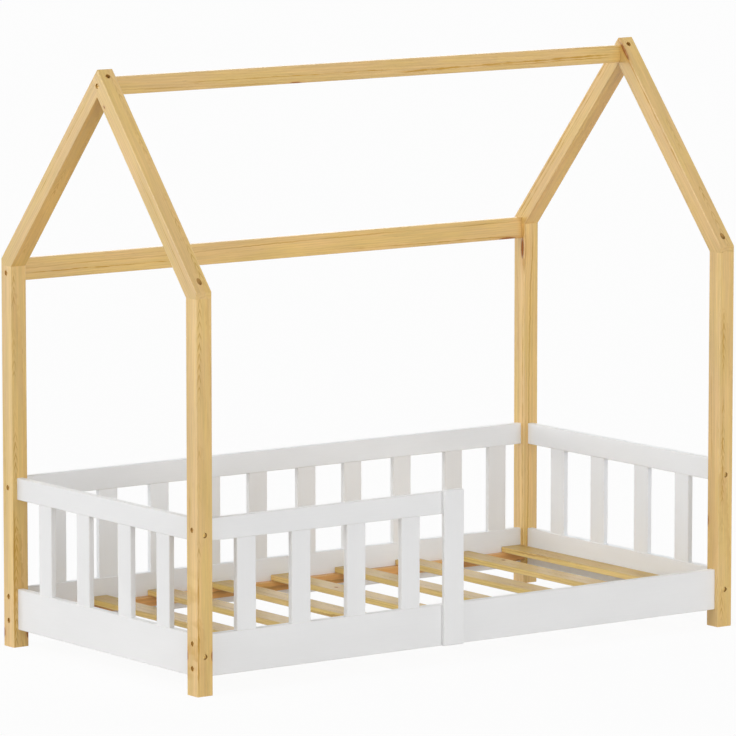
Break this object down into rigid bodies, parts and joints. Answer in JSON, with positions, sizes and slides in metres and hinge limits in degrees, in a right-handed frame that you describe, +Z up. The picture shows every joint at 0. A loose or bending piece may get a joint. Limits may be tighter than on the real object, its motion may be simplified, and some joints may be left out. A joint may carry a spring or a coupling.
{
  "type": "house frame bed",
  "caption": "Child's house-shaped floor bed: pine posts, gables, ridge and eave beams, white picket guard round a slatted base, with a way in at the front.",
  "frame": {"origin": "on the floor, in the middle of the bed's outline", "axes": "+X along the bed to its right end, seen from the front; +Y from the open front to the back; +Z up"},
  "size_m": [1.668, 0.866, 1.4929],
  "materials": {
    "frame_pine": "planed pine under clear satin lacquer",
    "white_paint": "pine under white satin paint",
    "base_pine": "planed pine, unfinished",
    "steel": "yellow zinc plate"
  },
  "bodies": {
    "root": {"apex_screws": "steel", "back_lower_rail": "white_paint", "back_picket_1": "white_paint", "back_picket_10": "white_paint", "back_picket_2": "white_paint", "back_picket_3": "white_paint", "back_picket_4": "white_paint", "back_picket_5": "white_paint", "back_picket_6": "white_paint", "back_picket_7": "white_paint", "back_picket_8": "white_paint", "back_picket_9": "white_paint", "back_slat_ledger": "base_pine", "back_upper_rail": "white_paint", "eave_beam": "frame_pine", "frame_screws": "steel", "front_guard_rail": "white_paint", "front_lower_rail": "white_paint", "front_picket_1": "white_paint", "front_picket_2": "white_paint", "front_picket_3": "white_paint", "front_picket_4": "white_paint", "front_slat_ledger": "base_pine", "guard_end_post": "white_paint", "left_lower_rail": "white_paint", "left_picket_1": "white_paint", "left_picket_2": "white_paint", "left_picket_3": "white_paint", "left_picket_4": "white_paint", "left_upper_rail": "white_paint", "post_back_left": "frame_pine", "post_back_right": "frame_pine", "post_front_left": "frame_pine", "post_front_right": "frame_pine", "rafter_foot_screws": "steel", "rafter_left_back": "frame_pine", "rafter_left_front": "frame_pine", "rafter_right_back": "frame_pine", "rafter_right_front": "frame_pine", "ridge_beam": "frame_pine", "right_lower_rail": "white_paint", "right_picket_1": "white_paint", "right_picket_2": "white_paint", "right_picket_3": "white_paint", "right_picket_4": "white_paint", "right_upper_rail": "white_paint", "slat_1": "base_pine", "slat_2": "base_pine", "slat_3": "base_pine", "slat_4": "base_pine", "slat_5": "base_pine", "slat_6": "base_pine", "slat_7": "base_pine", "slat_8": "base_pine", "slat_9": "base_pine"}
  },
  "joints": []
}
